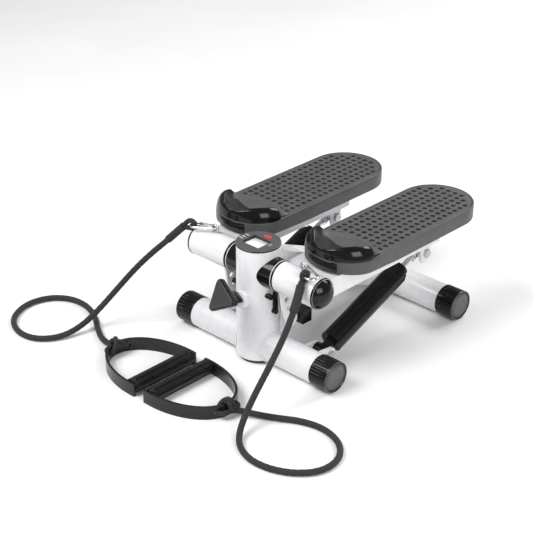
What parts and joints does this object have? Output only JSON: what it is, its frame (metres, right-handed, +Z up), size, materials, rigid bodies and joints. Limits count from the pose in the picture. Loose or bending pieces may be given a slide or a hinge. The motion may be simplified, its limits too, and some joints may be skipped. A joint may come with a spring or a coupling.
{
  "type": "stair stepper with pull ropes",
  "caption": "Compact stair stepper: round column on an H-shaped tube base, two tilting pedals over hydraulic cylinders, display, knob and pull ropes with grips.",
  "frame": {"origin": "centre of the column's rubber foot, on the floor", "axes": "+X to the right side, +Y from the column towards the heel ends of the pedals, +Z up"},
  "size_m": [0.6936, 0.6169, 0.219],
  "materials": {
    "white_paint": "glossy off-white powder coat",
    "black_gloss": "glossy black moulding",
    "pedal_plastic": "satin dark grey moulding",
    "grip_rubber": "matte dark grey studded mat",
    "black_paint": "glossy black enamel",
    "chrome": "polished",
    "zinc": "zinc plated",
    "black_rubber": "matte",
    "display_grey": "satin grey",
    "lcd": "pale liquid-crystal panel",
    "red_plastic": "glossy red",
    "rope_black": "braided",
    "handle_black": "glossy near-black"
  },
  "bodies": {
    "root": {"column": "white_paint", "column_foot": "black_rubber", "front_cross_tube": "white_paint", "rear_cross_tube": "white_paint", "frame_beam": "white_paint", "cylinder_brackets": "white_paint", "rocker_bracket": "white_paint", "knob_boss": "white_paint", "pivot_axle": "zinc", "pivot_collars": "black_gloss", "frame_fasteners": "zinc", "display_housing": "display_grey", "display_module": "lcd", "right_front_cap": "black_gloss", "left_front_cap": "black_gloss", "right_rear_cap": "black_gloss", "left_rear_cap": "black_gloss", "stop_bolts": "black_paint", "left_rope": "rope_black", "left_handle_band": "handle_black", "left_handle_grip": "black_rubber", "right_rope": "rope_black", "right_handle_band": "handle_black", "right_handle_grip": "black_rubber"},
    "left_pedal": {"left_pivot_tube": "white_paint", "left_pivot_bushings": "black_gloss", "left_end_cap": "black_gloss", "left_pedal_arm": "white_paint", "left_lever_plate": "white_paint", "left_rod_bracket": "white_paint", "left_pedal_base": "pedal_plastic", "left_pedal_grip": "grip_rubber", "left_toe_cup": "black_gloss", "left_pedal_fasteners": "zinc", "left_rope_eye": "zinc", "left_carabiner": "chrome"},
    "left_barrel": {"left_cylinder_barrel": "black_paint", "left_cylinder_gland": "black_paint"},
    "left_rod": {"left_piston_rod": "chrome"},
    "left_gate": {"left_carabiner_gate": "chrome"},
    "right_pedal": {"right_pivot_tube": "white_paint", "right_pivot_bushings": "black_gloss", "right_end_cap": "black_gloss", "right_pedal_arm": "white_paint", "right_lever_plate": "white_paint", "right_rod_bracket": "white_paint", "right_pedal_base": "pedal_plastic", "right_pedal_grip": "grip_rubber", "right_toe_cup": "black_gloss", "right_pedal_fasteners": "zinc", "right_rope_eye": "zinc", "right_carabiner": "chrome"},
    "right_barrel": {"right_cylinder_barrel": "black_paint", "right_cylinder_gland": "black_paint"},
    "right_rod": {"right_piston_rod": "chrome"},
    "right_gate": {"right_carabiner_gate": "chrome"},
    "rocker": {"rocker_beam": "black_paint"},
    "knob": {"adjust_screw": "zinc", "adjust_knob": "black_gloss"},
    "reset_button": {"reset_button": "red_plastic"}
  },
  "joints": [
    {"name": "left_pedal_tilt", "type": "hinge", "parent": "root", "child": "left_pedal", "pos_m": [-0.09, 0, 0.16], "axis": [1, 0, 0], "range_deg": [-10, 10], "deforming": ["left_rope"]},
    {"name": "right_pedal_tilt", "type": "hinge", "parent": "root", "child": "right_pedal", "pos_m": [0.09, 0, 0.16], "axis": [1, 0, 0], "range_deg": [-10.5, 10.5], "deforming": ["right_rope"]},
    {"name": "left_barrel_swing", "type": "hinge", "parent": "root", "child": "left_barrel", "pos_m": [-0.098, 0.044, 0.027], "axis": [1, 0, 0], "range_deg": [-10, 10]},
    {"name": "left_rod_slide", "type": "slide", "parent": "left_barrel", "child": "left_rod", "axis": [0, 0.9298, 0.368], "range_m": [-0.0248, 0.0248]},
    {"name": "right_barrel_swing", "type": "hinge", "parent": "root", "child": "right_barrel", "pos_m": [0.098, 0.044, 0.027], "axis": [1, 0, 0], "range_deg": [-10, 10]},
    {"name": "right_rod_slide", "type": "slide", "parent": "right_barrel", "child": "right_rod", "axis": [0, 0.9298, 0.368], "range_m": [-0.0248, 0.0248]},
    {"name": "rocker_turn", "type": "hinge", "parent": "root", "child": "rocker", "pos_m": [0, 0.052, 0.082], "axis": [0, 0, 1], "range_deg": [-12.6, 12.6]},
    {"name": "knob_turn", "type": "hinge", "parent": "root", "child": "knob", "pos_m": [0, -0.035, 0.114], "axis": [0, -0.9063, 0.4226], "continuous": true},
    {"name": "reset_press", "type": "slide", "parent": "root", "child": "reset_button", "axis": [0, 0, -1], "range_m": [0, 0.0013], "stiffness_N_per_m": 300, "springref_m": -0.0005},
    {"name": "left_gate_hinge", "type": "hinge", "parent": "left_pedal", "child": "left_gate", "pos_m": [-0.10956, 0.00373, 0.19156], "axis": [-0.0838, -0.024, 0.9962], "range_deg": [0, 22], "stiffness_Nm_per_rad": 0.02, "springref_deg": -5.73},
    {"name": "right_gate_hinge", "type": "hinge", "parent": "right_pedal", "child": "right_gate", "pos_m": [0.10969, 0.00082, 0.1928], "axis": [0, 0, -1], "range_deg": [0, 22], "stiffness_Nm_per_rad": 0.02, "springref_deg": -5.73}
  ],
  "couplings": [
    {"joint": "right_pedal_tilt", "follows": "left_pedal_tilt", "ratio": -1},
    {"joint": "left_barrel_swing", "follows": "left_pedal_tilt", "ratio": 0.9675},
    {"joint": "left_rod_slide", "follows": "left_pedal_tilt", "m_per_rad": 0.14},
    {"joint": "right_barrel_swing", "follows": "left_pedal_tilt", "ratio": -0.9675},
    {"joint": "right_rod_slide", "follows": "left_pedal_tilt", "m_per_rad": -0.14},
    {"joint": "rocker_turn", "follows": "left_pedal_tilt", "ratio": -1.23}
  ]
}
